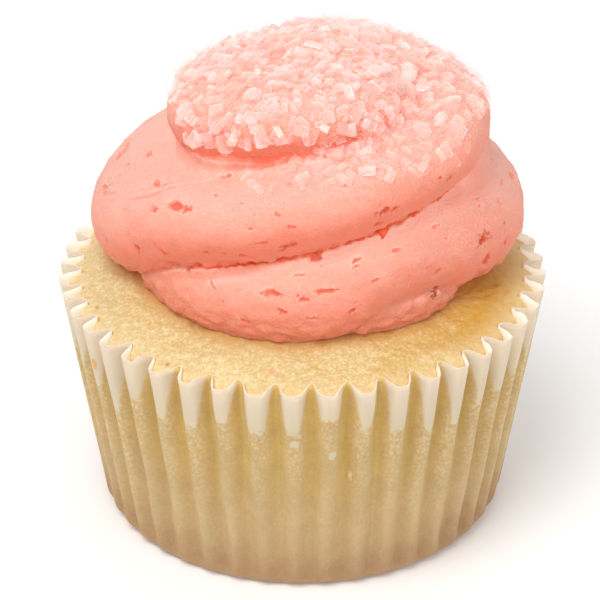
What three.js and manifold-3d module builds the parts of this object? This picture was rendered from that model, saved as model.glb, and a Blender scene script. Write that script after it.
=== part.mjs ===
// An uncut vanilla cupcake: a fluted paper case, the cake baked in it, and a piped
// swirl of icing with coarse sugar on its top.
// Millimetres, +Z up, front towards -Y. The origin is the middle of the case's
// underside, on the surface that the cupcake stands on.
import * as THREE from 'three';
import { mergeVertices } from 'three/addons/utils/BufferGeometryUtils.js';
import Module from 'manifold-3d';

// ---------- driving dimensions ----------
const mouthRadius = 32.5; // of the case, over its ridges, at the rim
const baseRadius = 27.0; // of the case, over its ridges, carried down to the floor
const caseHeight = 33.5;
const baseCorner = 2.3; // rounding between the case's wall and its flat base
const paper = 0.4; // pleated paper with its folds, as a solid wall
const gap = 0.4; // left between pieces that touch

const pleatCount = 44;
const pleatDepth = 3.3; // ridge to valley at the rim
const pleatDepthAtBase = 0.28; // share of that depth that is left at the foot
const ridgeWidthAtRim = 0.62; // exponent of the pleat's wave: low is a broad ridge
const ridgeWidthAtBase = 2.0; // high is an even ripple
const pleatUnevenness = 0.1; // share by which depths and spacing differ
const pleatTurn = 2.1; // degrees by which the pleats are turned from a valley at the front

const cakeEdgeRadius = 29.5; // where the cake's crown would meet the wall
const cakeEdgeHeight = 33.0; // a little below the case's rim
const crownRise = 5.0; // of the cake's middle over its edge
const pleatFillAtRim = 0.6; // how far the cake's top fills the pleats
const unfilledDepth = 12; // below the rim, where the cake lets go of the pleats

// The piped rope, from its start on the cake to its end on top. A turn counts
// anticlockwise seen from above, and whole turns lie at the left (-X).
const ropeStations = [
  // turn, path radius, height of the middle, half width, half height, lean
  [-0.75, 13.0, 37.0, 8.5, 4.0, 0.0], // the first turn is hidden but for its foot
  [-0.62, 14.5, 37.0, 9.0, 4.0, 0.0],
  [-0.5, 13.0, 37.0, 8.0, 4.0, 0.0],
  [-0.25, 13.0, 38.0, 8.0, 5.0, 0.0],
  [0.0, 14.5, 37.5, 7.5, 5.0, -0.1],
  [0.25, 17.5, 39.2, 6.5, 6.0, 0.0], // the front, lowest in the swirl
  [0.375, 18.0, 42.0, 5.5, 5.8, 0.1],
  [0.5, 21.5, 42.0, 8.0, 7.3, -0.05], // the bulge at the right
  [0.75, 20.0, 43.5, 9.0, 8.0, -0.1],
  [1.0, 19.3, 42.7, 8.7, 8.2, -0.2], // the bulge at the left
  [1.125, 16.5, 47.0, 7.3, 6.2, 0.0],
  [1.25, 15.0, 51.2, 7.3, 5.8, 0.1],
  [1.375, 15.2, 53.6, 7.6, 5.5, 0.15],
  [1.5, 15.6, 55.6, 8.7, 6.7, 0.1],
  [1.75, 10.5, 56.3, 8.7, 6.3, 0.0],
  [2.0, 8.8, 57.4, 8.8, 6.5, -0.1],
  [2.25, 7.3, 59.8, 8.4, 5.5, 0.1],
  [2.5, 7.5, 60.8, 8.4, 5.0, -0.2],
];
const stepsPerTurn = 26;
const ropeSides = 15;
const coreProfile = [ // radius and height of the filled middle of the swirl
  [0, 36], [17.5, 36], [17.5, 49], [15.5, 54], [11, 58], [0, 60],
];
const capCentre = new THREE.Vector3(3.4, 1.0, 50.0); // the round top leans to the right
const capDome = new THREE.Vector3(14, 13, 8.2); // half sizes of the dome that ends the swirl
const capDomeMiddle = new THREE.Vector3(3.5, 3.0, 58.0);

// Coarse sugar: the largest grains, as boxes set into the icing.
const grainSize = new THREE.Vector3(2.0, 1.3, 1.2);
const grainTries = 190; // directions that are tried over the upper half of the swirl
const sugarReach = 20.5; // from the middle of the cap
const sugarEdgeHeight = 57.0; // the sugar stops at the cap's shoulder
const sugarEdgeSlope = 0.12; // which is lower at the right
const grainSunk = 0.25; // share of a grain's thickness under the icing
const grainSmallest = 0.75; // against the size above
const grainLargest = 1.1;
const grainTilt = 0.35; // radians off the icing, at most

// ---------- helpers ----------
const turnAngle = 2 * Math.PI;
const manifold = await Module();
manifold.setup();

// A repeatable stream of numbers between 0 and 1.
function numberStream(seed) {
  let state = seed;
  return () => {
    state = (state * 1664525 + 1013904223) % 4294967296;
    return state / 4294967296;
  };
}

function mix(low, high, share) {
  return low + (high - low) * share;
}

function merged(geometry) {
  geometry.deleteAttribute('normal');
  geometry.deleteAttribute('uv');
  return mergeVertices(geometry, 1e-4);
}

function solidOf(geometry) {
  const closed = merged(geometry);
  return new manifold.Manifold(new manifold.Mesh({
    numProp: 3,
    vertProperties: new Float32Array(closed.attributes.position.array),
    triVerts: new Uint32Array(closed.index.array),
  }));
}

function geometryOf(solid) {
  const mesh = solid.getMesh();
  const geometry = new THREE.BufferGeometry();
  geometry.setAttribute('position', new THREE.BufferAttribute(mesh.vertProperties, 3));
  geometry.setIndex(new THREE.BufferAttribute(mesh.triVerts, 1));
  return geometry;
}

// The largest body of a solid, without the slivers and sealed bubbles that joining leaves.
function mainBody(solid) {
  return solid.decompose().sort((one, other) => other.volume() - one.volume())[0];
}

function piece(name, geometry, colour, roughness) {
  geometry.computeVertexNormals();
  const material = new THREE.MeshStandardMaterial({ color: colour, roughness, metalness: 0 });
  const mesh = new THREE.Mesh(geometry, material);
  mesh.name = name;
  return mesh;
}

// ---------- the pleated wall ----------
const pleatNumbers = numberStream(11);
const pleats = Array.from({ length: pleatCount }, () => ({
  depth: 1 + pleatUnevenness * (2 * pleatNumbers() - 1),
  shift: (pleatUnevenness * (2 * pleatNumbers() - 1)) / 2,
}));

function ridgeRadius(height) {
  const leaning = mix(baseRadius, mouthRadius, height / caseHeight);
  const drop = Math.max(0, baseCorner - height);
  return leaning - baseCorner + Math.sqrt(baseCorner ** 2 - drop ** 2);
}

// How deep the pleats are at a height: none on the corner, deepest at the rim.
function depthAt(height) {
  const risen = THREE.MathUtils.smoothstep(height, 0, 1.4 * baseCorner);
  return pleatDepth * mix(pleatDepthAtBase, 1, height / caseHeight) * risen;
}

// A column is a place round the wall. Valleys are the whole pleats.
function wallPoint(column, columns, height, fill = 1) {
  const along = (column / columns) * pleatCount;
  const number = Math.floor(along) % pleatCount;
  const phase = along - Math.floor(along);
  const next = pleats[(number + 1) % pleatCount];
  const start = number + pleats[number].shift;
  const end = number + 1 + next.shift;
  const power = mix(ridgeWidthAtBase, ridgeWidthAtRim, height / caseHeight);
  const wave = Math.sin(Math.PI * phase) ** power * fill;
  const radius = ridgeRadius(height) - depthAt(height) * pleats[number].depth * (1 - wave)
    - depthAt(height) * (1 - pleats[number].depth) * phase * (1 - phase);
  const angle = (mix(start, end, phase) / pleatCount) * turnAngle
    + THREE.MathUtils.degToRad(pleatTurn);
  return new THREE.Vector2(radius * Math.cos(angle), radius * Math.sin(angle));
}

// The wall's point moved towards the inside, square to the paper.
function insidePoint(column, columns, height) {
  const here = wallPoint(column, columns, height);
  const before = wallPoint(column + columns - 1, columns, height);
  const after = wallPoint(column + 1, columns, height);
  const along = after.sub(before).normalize();
  return here.add(new THREE.Vector2(-along.y, along.x).multiplyScalar(paper));
}

// Turns a profile of rows, each of which says where its point lies at a column.
function turned(rows, columns) {
  const profile = rows.map((row) => new THREE.Vector2(1, row.height));
  const geometry = new THREE.LatheGeometry(profile, columns);
  const position = geometry.attributes.position;
  for (let column = 0; column <= columns; column += 1) {
    rows.forEach((row, number) => {
      const point = row.at(column % columns);
      position.setXYZ(column * rows.length + number, point.x, point.y, row.height);
    });
  }
  return geometry;
}

const onAxis = () => new THREE.Vector2(0, 0);

function makeCase() {
  const columns = pleatCount * 4;
  const cornerHeights = [0, 0.3 * baseCorner, baseCorner];
  const wallHeights = [0.3 * caseHeight, 0.62 * caseHeight, caseHeight];
  const outside = [...cornerHeights, ...wallHeights].map((height) => ({
    height,
    at: (column) => wallPoint(column, columns, height),
  }));
  const inside = [...outside].reverse().map(({ height }) => ({
    height: Math.max(height, paper),
    at: (column) => insidePoint(column, columns, height),
  }));
  const rows = [{ height: 0, at: onAxis }, ...outside, ...inside, { height: paper, at: onAxis }];
  return merged(turned(rows, columns));
}

// ---------- the cake ----------
function crownHeight(radius) {
  return cakeEdgeHeight + crownRise * (1 - (radius / cakeEdgeRadius) ** 2);
}

function makeCake() {
  const columns = pleatCount * 2;
  const clear = paper + gap;
  const shelf = caseHeight - unfilledDepth;
  const loosening = 0.5 * (shelf + cakeEdgeHeight);
  const sideHeights = [clear, baseCorner + clear, 0.4 * caseHeight, shelf, loosening];
  const side = [...sideHeights, cakeEdgeHeight].map((height) => ({
    height,
    at: (column) => {
      const loose = Math.max(0, (height - shelf) / unfilledDepth);
      const point = wallPoint(column, columns, height, mix(1, pleatFillAtRim, loose));
      return point.setLength(point.length() - clear);
    },
  }));
  const crown = [0.92, 0.75, 0.4].map((share) => ({
    height: crownHeight(share * cakeEdgeRadius),
    at: (column) => {
      const angle = (column / columns) * turnAngle + THREE.MathUtils.degToRad(pleatTurn);
      const radius = share * (cakeEdgeRadius - clear);
      return new THREE.Vector2(radius * Math.cos(angle), radius * Math.sin(angle));
    },
  }));
  const bottom = { height: clear, at: onAxis };
  const top = { height: cakeEdgeHeight + crownRise, at: onAxis };
  return merged(turned([bottom, ...side, ...crown, top], columns));
}

// ---------- the icing ----------
// The rope's size at a turn, smoothly between its stations.
function ropeAt(turn) {
  const last = ropeStations.length - 1;
  const at = (number) => ropeStations[THREE.MathUtils.clamp(number, 0, last)];
  const slope = (number, part) => (at(number + 1)[part] - at(number - 1)[part])
    / (at(number + 1)[0] - at(number - 1)[0]);
  const later = ropeStations.findIndex((station) => station[0] > turn);
  const number = (later < 0 ? last : later) - 1;
  const [from, to] = [at(number), at(number + 1)];
  const span = to[0] - from[0];
  const share = (turn - from[0]) / span;
  const curve = (part) => {
    const square = share * share;
    const cube = square * share;
    return from[part] * (2 * cube - 3 * square + 1) + to[part] * (3 * square - 2 * cube)
      + span * slope(number, part) * (cube - 2 * square + share)
      + span * slope(number + 1, part) * (cube - square);
  };
  return { radius: curve(1), middle: curve(2), halfWidth: curve(3), halfHeight: curve(4), lean: curve(5) };
}

// One stretch of the rope: a cylinder whose rings are set upright round the axis.
function ropeStretch(from, to) {
  const steps = Math.round((to - from) * stepsPerTurn);
  const geometry = new THREE.CylinderGeometry(1, 1, 1, ropeSides, steps);
  const position = geometry.attributes.position;
  const point = new THREE.Vector3();
  for (let index = 0; index < position.count; index += 1) {
    point.fromBufferAttribute(position, index);
    const turn = mix(from, to, 0.5 + point.y);
    const rope = ropeAt(turn);
    const inward = Math.min(rope.halfWidth, rope.radius - 0.5);
    const offset = point.x * (point.x > 0 ? rope.halfWidth : inward);
    const radius = rope.radius + offset;
    const angle = (turn - 0.5) * turnAngle;
    const height = rope.middle + point.z * rope.halfHeight + offset * rope.lean;
    position.setXYZ(index, radius * Math.cos(angle), radius * Math.sin(angle), height);
  }
  return solidOf(geometry);
}

// Everything that the cake and the space just above it take up, as a cutter.
function belowIcing() {
  const reach = mouthRadius + 10;
  const crown = [1, 0.8, 0.6, 0.4, 0.2, 0].map((share) => {
    const radius = share * cakeEdgeRadius;
    return new THREE.Vector2(radius, crownHeight(radius) + gap);
  });
  const profile = [new THREE.Vector2(0, 0), new THREE.Vector2(reach, 0),
    new THREE.Vector2(reach, crownHeight(reach) + gap), ...crown];
  return solidOf(new THREE.LatheGeometry(profile, 48).rotateX(Math.PI / 2));
}

function makeSwirl() {
  const start = ropeStations[0][0];
  const end = ropeStations[ropeStations.length - 1][0];
  const stretch = 0.6; // of a turn, so that no two joints lie one above the other
  const core = coreProfile.map(([radius, height]) => new THREE.Vector2(radius, height));
  let swirl = solidOf(new THREE.LatheGeometry(core, 24).rotateX(Math.PI / 2));
  for (let from = start; from < end; from += stretch) {
    swirl = swirl.add(ropeStretch(from, Math.min(from + stretch, end)));
  }
  const dome = new THREE.SphereGeometry(1, 28, 14).rotateX(Math.PI / 2)
    .scale(...capDome).translate(...capDomeMiddle);
  return swirl.add(solidOf(dome)).subtract(belowIcing());
}

// The largest sugar grains, spread evenly over the cap and set into it.
function addSugar(swirl) {
  const numbers = numberStream(7);
  const surface = new THREE.Mesh(geometryOf(swirl), new THREE.MeshBasicMaterial());
  const ray = new THREE.Raycaster();
  const outside = 2 * mouthRadius; // from the cap's centre to where a ray starts
  const goldenAngle = Math.PI * (3 - Math.sqrt(5));
  let sugared = swirl;
  for (let number = 0; number < grainTries; number += 1) {
    const rise = 1 - number / grainTries;
    const spread = Math.sqrt(1 - rise * rise);
    const angle = number * goldenAngle;
    const outward = new THREE.Vector3(spread * Math.cos(angle), spread * Math.sin(angle), rise);
    ray.set(outward.clone().multiplyScalar(outside).add(capCentre), outward.clone().negate());
    const hit = ray.intersectObject(surface)[0];
    const size = mix(grainSmallest, grainLargest, numbers());
    const turn = numbers() * turnAngle;
    const tilt = mix(-grainTilt, grainTilt, numbers());
    if (!hit || hit.point.z < sugarEdgeHeight - sugarEdgeSlope * hit.point.x) {
      continue;
    }
    const reach = Math.hypot(hit.point.x - capCentre.x, hit.point.y - capCentre.y);
    if (reach > sugarReach) {
      continue;
    }
    const grain = new THREE.BoxGeometry(grainSize.x, grainSize.y, grainSize.z);
    const scale = new THREE.Vector3(size, size, size);
    const lying = new THREE.Quaternion().setFromUnitVectors(new THREE.Vector3(0, 0, 1), hit.face.normal);
    const turning = new THREE.Quaternion().setFromEuler(new THREE.Euler(tilt, tilt / 2, turn));
    const place = hit.point.clone().addScaledVector(hit.face.normal, grainSize.z * (0.5 - grainSunk) * size);
    grain.applyMatrix4(new THREE.Matrix4().compose(place, lying.multiply(turning), scale));
    sugared = sugared.add(solidOf(grain));
  }
  return mainBody(sugared);
}

// ---------- the whole cupcake ----------
const cupcake = new THREE.Group();
cupcake.add(piece('paper_case', makeCase(), 0xe8d9bd, 0.75));
cupcake.add(piece('cake', makeCake(), 0xedce8c, 0.85));
cupcake.add(piece('frosting', geometryOf(addSugar(makeSwirl())), 0xfaa894, 0.55));
export default cupcake;
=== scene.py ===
import math

import bpy
import numpy as np
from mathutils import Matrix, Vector, noise
from mathutils.bvhtree import BVHTree
from mathutils.kdtree import KDTree


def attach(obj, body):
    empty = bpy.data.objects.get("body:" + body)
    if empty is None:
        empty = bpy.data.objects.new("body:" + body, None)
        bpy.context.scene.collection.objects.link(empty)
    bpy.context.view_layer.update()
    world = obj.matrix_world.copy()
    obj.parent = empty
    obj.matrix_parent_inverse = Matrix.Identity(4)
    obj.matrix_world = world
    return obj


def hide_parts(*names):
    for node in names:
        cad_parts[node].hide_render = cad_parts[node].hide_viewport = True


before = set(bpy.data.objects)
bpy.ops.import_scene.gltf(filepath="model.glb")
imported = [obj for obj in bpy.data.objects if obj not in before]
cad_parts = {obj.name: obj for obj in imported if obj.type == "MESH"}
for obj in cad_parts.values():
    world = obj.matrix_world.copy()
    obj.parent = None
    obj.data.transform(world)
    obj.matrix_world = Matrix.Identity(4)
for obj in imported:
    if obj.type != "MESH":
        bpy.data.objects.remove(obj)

mm = 0.001
scene = bpy.context.scene
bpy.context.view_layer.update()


def pickOnly(piece):
    if bpy.context.object and bpy.context.object.mode != "OBJECT":
        bpy.ops.object.mode_set(mode="OBJECT")
    bpy.ops.object.select_all(action="DESELECT")
    if piece:
        piece.select_set(True)
        bpy.context.view_layer.objects.active = piece


def editAll(piece):
    # into edit mode with everything selected
    pickOnly(piece)
    bpy.ops.object.mode_set(mode="EDIT")
    bpy.ops.mesh.select_all(action="SELECT")


def leaveEdit():
    bpy.ops.object.mode_set(mode="OBJECT")


def keepAs(name):
    piece = bpy.context.object
    piece.name = name
    piece.data.name = name
    return piece


def applyModifier(piece, kind, **settings):
    pickOnly(piece)
    modifier = piece.modifiers.new(kind.lower(), kind)
    for name, value in settings.items():
        setattr(modifier, name, value)
    bpy.ops.object.modifier_apply(modifier=modifier.name)


def smoothShade(piece):
    pickOnly(piece)
    bpy.ops.object.shade_smooth()


def faceOutwards(piece):
    editAll(piece)
    bpy.ops.mesh.remove_doubles(threshold=0.001 * mm)
    bpy.ops.mesh.normals_make_consistent(inside=False)
    leaveEdit()


def addDisc(name, sides, radius, height=0.0):
    pickOnly(None)
    bpy.ops.mesh.primitive_circle_add(vertices=sides, radius=radius, fill_type="NGON",
                                      location=(0, 0, height))
    bpy.ops.object.transform_apply()
    return keepAs(name)


def raiseFace(rise):
    bpy.ops.mesh.extrude_region_move(TRANSFORM_OT_translate={"value": (0, 0, rise)})


def resizeFace(share, height):
    bpy.ops.transform.resize(value=(share, share, 1.0), center_override=(0, 0, height))


def readPoints(piece):
    points = np.empty(len(piece.data.vertices) * 3)
    piece.data.vertices.foreach_get("co", points)
    return points.reshape(-1, 3)


def readNormals(piece):
    normals = np.empty(len(piece.data.vertices) * 3)
    piece.data.vertex_normals.foreach_get("vector", normals)
    return normals.reshape(-1, 3)


def writePoints(piece, points):
    piece.data.vertices.foreach_set("co", np.ascontiguousarray(points, dtype=np.float32).ravel())
    piece.data.update()


def writeAttribute(piece, name, values):
    attribute = piece.data.attributes.new(name, "FLOAT", "POINT")
    attribute.data.foreach_set("value", np.ascontiguousarray(values, dtype=np.float32))


def smoothStep(value, low, high):
    share = np.clip((value - low) / (high - low), 0.0, 1.0)
    return share * share * (3.0 - 2.0 * share)


def mix(low, high, share):
    return low + (high - low) * share


def roughNoise(points, size, seed=0.0):
    # smooth noise from about -1 to 1 whose lumps are size across
    shift = Vector((seed * 7.3, seed * 3.1, seed * 5.7))
    return np.array([noise.noise(Vector(point) / size + shift) for point in points]) * 1.6


def smoothValues(piece, values, passes):
    # each point takes half of its neighbours' average, a few times over
    ends = np.empty(len(piece.data.edges) * 2, dtype=np.int32)
    piece.data.edges.foreach_get("vertices", ends)
    ends = ends.reshape(-1, 2)
    count = np.bincount(ends.ravel(), minlength=len(values))
    for number in range(passes):
        total = np.bincount(ends[:, 0], weights=values[ends[:, 1]], minlength=len(values))
        total += np.bincount(ends[:, 1], weights=values[ends[:, 0]], minlength=len(values))
        values = 0.5 * values + 0.5 * total / np.maximum(count, 1)
    return values


def surfaceTree(piece):
    points = [vertex.co.copy() for vertex in piece.data.vertices]
    faces = [tuple(face.vertices) for face in piece.data.polygons]
    return BVHTree.FromPolygons(points, faces)


def pointFinder(points):
    finder = KDTree(len(points))
    for index, point in enumerate(points):
        finder.insert(Vector(point), index)
    finder.balance()
    return finder


def roundPlace(radius, angle, height):
    return np.stack([radius * np.cos(angle), radius * np.sin(angle), height], axis=1)


def numberStream(seed):
    # a repeatable stream of numbers between 0 and 1
    state = seed
    while True:
        state = (state * 1664525 + 1013904223) % 4294967296
        yield state / 4294967296


# where the camera stands
view = {
    "elevation": 30.57,          # degrees above the table
    "distance": 464.3 * mm,
    "target": (-0.34 * mm, 0.0, 28.42 * mm),
    "lens": 207.06,
    "sensor": 36.0,
    "frameWidth": 600,           # places in the frame are given for this width, in pixels
}

viewAngle = math.radians(view["elevation"])
viewForward = Vector((0.0, math.cos(viewAngle), -math.sin(viewAngle)))
viewUp = Vector((0.0, math.sin(viewAngle), math.cos(viewAngle)))
viewRight = Vector((1.0, 0.0, 0.0))
cameraPlace = Vector(view["target"]) - viewForward * view["distance"]

pickOnly(None)
bpy.ops.object.camera_add(location=cameraPlace, rotation=(math.pi / 2 - viewAngle, 0.0, 0.0))
camera = bpy.context.object
camera.name = "camera"
camera.data.lens = view["lens"]
camera.data.sensor_width = view["sensor"]
camera.data.clip_start = 0.01
scene.camera = camera


def castFrame(tree, across, down):
    # where the line through a place in the frame first meets a surface
    middle = view["frameWidth"] / 2
    reach = view["lens"] / view["sensor"] * view["frameWidth"]
    aim = viewForward * reach + viewRight * (across - middle) + viewUp * (middle - down)
    place, normal, _, _ = tree.ray_cast(cameraPlace, aim.normalized())
    return place, normal


print("camera placed")


# the fluted case, in mm: sizes that the paper and the cake share
case = {
    "mouthRadius": 32.5,         # over the ridges at the rim
    "baseRadius": 27.0,
    "height": 33.5,
    "corner": 2.3,
    "pleatCount": 44,
    "pleatDepth": 2.6,
    "valleyRise": 0.45,          # how much higher the rim is in the valleys
    "depthAtBase": 0.4,
    "ridgeMiddle": 0.45,         # between two valleys, at the rim
    "unevenness": 0.1,
    "frontPleat": 32.6,          # the pleats round this one are wider
    "frontSpread": 0.13,
    "turn": 2.1,                 # degrees
    "rimBand": 0.6,              # under the rim, where it is rough and torn
    "thickness": 0.16,
    "columnsPerPleat": 20,
    "cornerRows": (0.05, 0.2, 0.45, 0.8, 1.25, 1.75, 2.3, 3.0),
    "wallRows": 34,
    "wobble": 0.07,              # sideways lean of the ridges, in pleats
    "dents": 0.035,
    "rimRoughness": 0.1,
    "tornCorners": 0.3,
    "stain": (94, 364),          # a drop of grease, at its place in the frame
    "barePatches": ((294, 445), (333, 456)),
    "flagLengths": (6.0, 10.0),  # bare paper under the rim on each pleat
    "flagWidths": (0.82, 1.05),  # in front, where the cake holds the paper closer, and elsewhere
    "frontFlags": (9.4, 11.6, 6.5, 8.1, 7.9, 5.7, 6.6, 6.3, 4.4, 6.6, 7.6, 8.7, 9.7, 8.1, 8.1, 7.9),
    "firstFrontPleat": 25,
    "pleatSeed": 11,
    "flagSeed": 23,
}

pleatNumbers = numberStream(case["pleatSeed"])
pleatDepths = []
pleatShifts = []
for pleat in range(case["pleatCount"]):
    pleatDepths.append(1 + case["unevenness"] * (2 * next(pleatNumbers) - 1))
    away = pleat - case["frontPleat"]
    spread = case["frontSpread"] * max(-1.0, min(1.0, away / 3)) * max(0.0, min(1.0, (14 - abs(away)) / 6))
    pleatShifts.append(case["unevenness"] * (2 * next(pleatNumbers) - 1) / 2 + spread)
pleatDepths = np.array(pleatDepths)
pleatShifts = np.array(pleatShifts)


def ridgeRadius(height):
    leaning = mix(case["baseRadius"], case["mouthRadius"], height / case["height"])
    drop = np.maximum(0.0, case["corner"] - height)
    return leaning - case["corner"] + np.sqrt(np.maximum(0.0, case["corner"] ** 2 - drop ** 2))


def pleatDepthAt(height):
    risen = smoothStep(height, 0.0, 1.4 * case["corner"])
    return case["pleatDepth"] * mix(case["depthAtBase"], 1.0, height / case["height"]) * risen


def wallRadiusAndAngle(along, height, fill=1.0):
    # along counts pleats round the wall, with the valleys at whole numbers
    number = np.floor(along).astype(int) % case["pleatCount"]
    phase = along - np.floor(along)
    following = (number + 1) % case["pleatCount"]
    # narrow rounded valleys and broad ridges at the rim, even waves at the base
    share = height / case["height"]
    skew = mix(1.0, math.log(0.5) / math.log(case["ridgeMiddle"]), share)
    swell = np.sin(np.pi * phase ** skew).clip(0.0, 1.0)
    wave = mix(swell ** 2, smoothStep(swell, 0.14, 0.97), share) * fill
    depth = pleatDepthAt(height)
    own = pleatDepths[number]
    radius = ridgeRadius(height) - depth * own * (1 - wave) - depth * (1 - own) * phase * (1 - phase)
    start = pleatShifts[number]
    end = 1 + pleatShifts[following]
    around = roundPlace(9.0, along / case["pleatCount"] * 2 * np.pi, height * 0.35)
    lean = roughNoise(around, 3.0, 1) * case["wobble"] * np.sin(np.pi * height / case["height"])
    radius = radius + roughNoise(around, 2.5, 2) * case["dents"] * smoothStep(height, 1.0, 6.0)
    angle = (np.floor(along) + mix(start, end, phase) + lean) / case["pleatCount"] * 2 * np.pi
    return radius, angle + math.radians(case["turn"])


def pleatPlace(points, columns):
    # how far round each point is, in pleats, snapped to its column
    angle = np.arctan2(points[:, 1], points[:, 0]) % (2 * np.pi)
    column = np.round(angle / (2 * np.pi) * columns) % columns
    return column / columns * case["pleatCount"]


def standUpTube(name, columns, rows):
    # a round plate whose edge is drawn up into a straight tube, one ring for each row
    tube = addDisc(name, columns, 1.0, rows[0] * mm)
    editAll(tube)
    bpy.ops.mesh.select_mode(type="EDGE")
    bpy.ops.mesh.select_all(action="SELECT")
    bpy.ops.mesh.region_to_loop()
    for low, high in zip(rows, rows[1:]):
        bpy.ops.mesh.extrude_edges_move(TRANSFORM_OT_translate={"value": (0, 0, (high - low) * mm)})
    leaveEdit()
    return tube


def makePaperCase():
    columns = case["pleatCount"] * case["columnsPerPleat"]
    wallRows = np.linspace(case["cornerRows"][-1], case["height"], case["wallRows"] + 1)[1:]
    rows = [0.0, *case["cornerRows"], *wallRows]
    paper = standUpTube("paper", columns, rows)

    points = readPoints(paper)
    along = pleatPlace(points, columns)
    height = points[:, 2] / mm
    radius, angle = wallRadiusAndAngle(along, height)
    rim = smoothStep(height, case["height"] - case["rimBand"], case["height"])
    phase = along - np.floor(along)
    torn = smoothStep(phase, 0.55, 0.75) * (1 - smoothStep(phase, 0.8, 0.95))
    roughness = case["rimRoughness"] + case["tornCorners"] * torn
    edge = roundPlace(54.0, angle, height * 2.16)
    valley = 1 - np.sin(np.pi * phase)
    height = height + rim * (roughNoise(edge, 1.0, 3) * roughness - 0.1)
    height = height + smoothStep(height, 20.0, case["height"]) * case["valleyRise"] * (valley - 0.36)
    points = roundPlace(radius, angle, height)
    writePoints(paper, points * mm)
    faceOutwards(paper)

    number = np.floor(along).astype(int) % case["pleatCount"]
    lotteries = numberStream(case["flagSeed"])
    lengths = np.array([mix(*case["flagLengths"], next(lotteries)) for pleat in range(case["pleatCount"])])
    tips = np.array([mix(0.15, 0.5, next(lotteries)) for pleat in range(case["pleatCount"])])
    first = case["firstFrontPleat"]
    lengths[first:first + len(case["frontFlags"])] = case["frontFlags"]
    middle = case["ridgeMiddle"]
    writeAttribute(paper, "fromRidge", np.where(phase < middle, 1 - phase / middle,
                                                (phase - middle) / (1 - middle)))
    writeAttribute(paper, "flagLength", lengths[number] / case["height"])
    writeAttribute(paper, "flagTip", tips[number])
    fromFront = np.abs((angle % (2 * np.pi)) - 1.5 * np.pi)
    wide = mix(*case["flagWidths"], smoothStep(np.degrees(fromFront), 25.0, 55.0))
    writeAttribute(paper, "flagWidth", wide)
    outerCount = len(points)
    applyModifier(paper, "SOLIDIFY", thickness=case["thickness"] * mm, offset=-1.0,
                  use_even_offset=True, use_quality_normals=True)
    writeAttribute(paper, "innerFace", np.arange(len(paper.data.vertices)) >= outerCount)
    tree = surfaceTree(paper)
    case["stainPlace"] = castFrame(tree, *case["stain"])[0]
    case["patchPlaces"] = [castFrame(tree, *patch)[0] for patch in case["barePatches"]]
    smoothShade(paper)
    return paper


paperCase = makePaperCase()
print("paper case folded:", len(paperCase.data.polygons), "faces")


# the cake, in mm
cake = {
    "edgeRadius": 29.5,
    "edgeHeight": 33.3,
    "crownRise": 4.7,
    "fillInFront": (0.85, 1.0),  # how far the crumb fills each pleat at the rim
    "fillElsewhere": (0.35, 0.7),
    "unfilledDepth": 12.0,
    "fullestPleat": 32.5,
    "clear": 0.25,               # left between the crumb and the paper's face
    "bottom": 0.8,
    "edgeRounding": 0.6,
    "seenFrom": 13.0,            # radius under the icing where the fine crumb ends
    "crumbStep": 0.24,
    "relief": ((5.0, 4, 0.22), (1.6, 5, 0.084), (0.8, 6, 0.07)),  # size, seed, depth
    "pores": 16,
    "poreRing": (18.0, 30.0),
    "poreSizes": (0.2, 0.45),
    "poreDepth": 0.3,
    "poreSeed": 31,
    "fillSeed": 41,
    "shadeReach": 2.8,           # how far from the icing the crumb is darker
    "icingCrumb": (272, 372),    # a fleck of icing, at its place in the frame
}


def crownHeight(radius):
    return cake["edgeHeight"] + cake["crownRise"] * (1 - (radius / cake["edgeRadius"]) ** 2)


def crownUnder(points):
    return crownHeight(np.hypot(points[:, 0], points[:, 1]))


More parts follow.
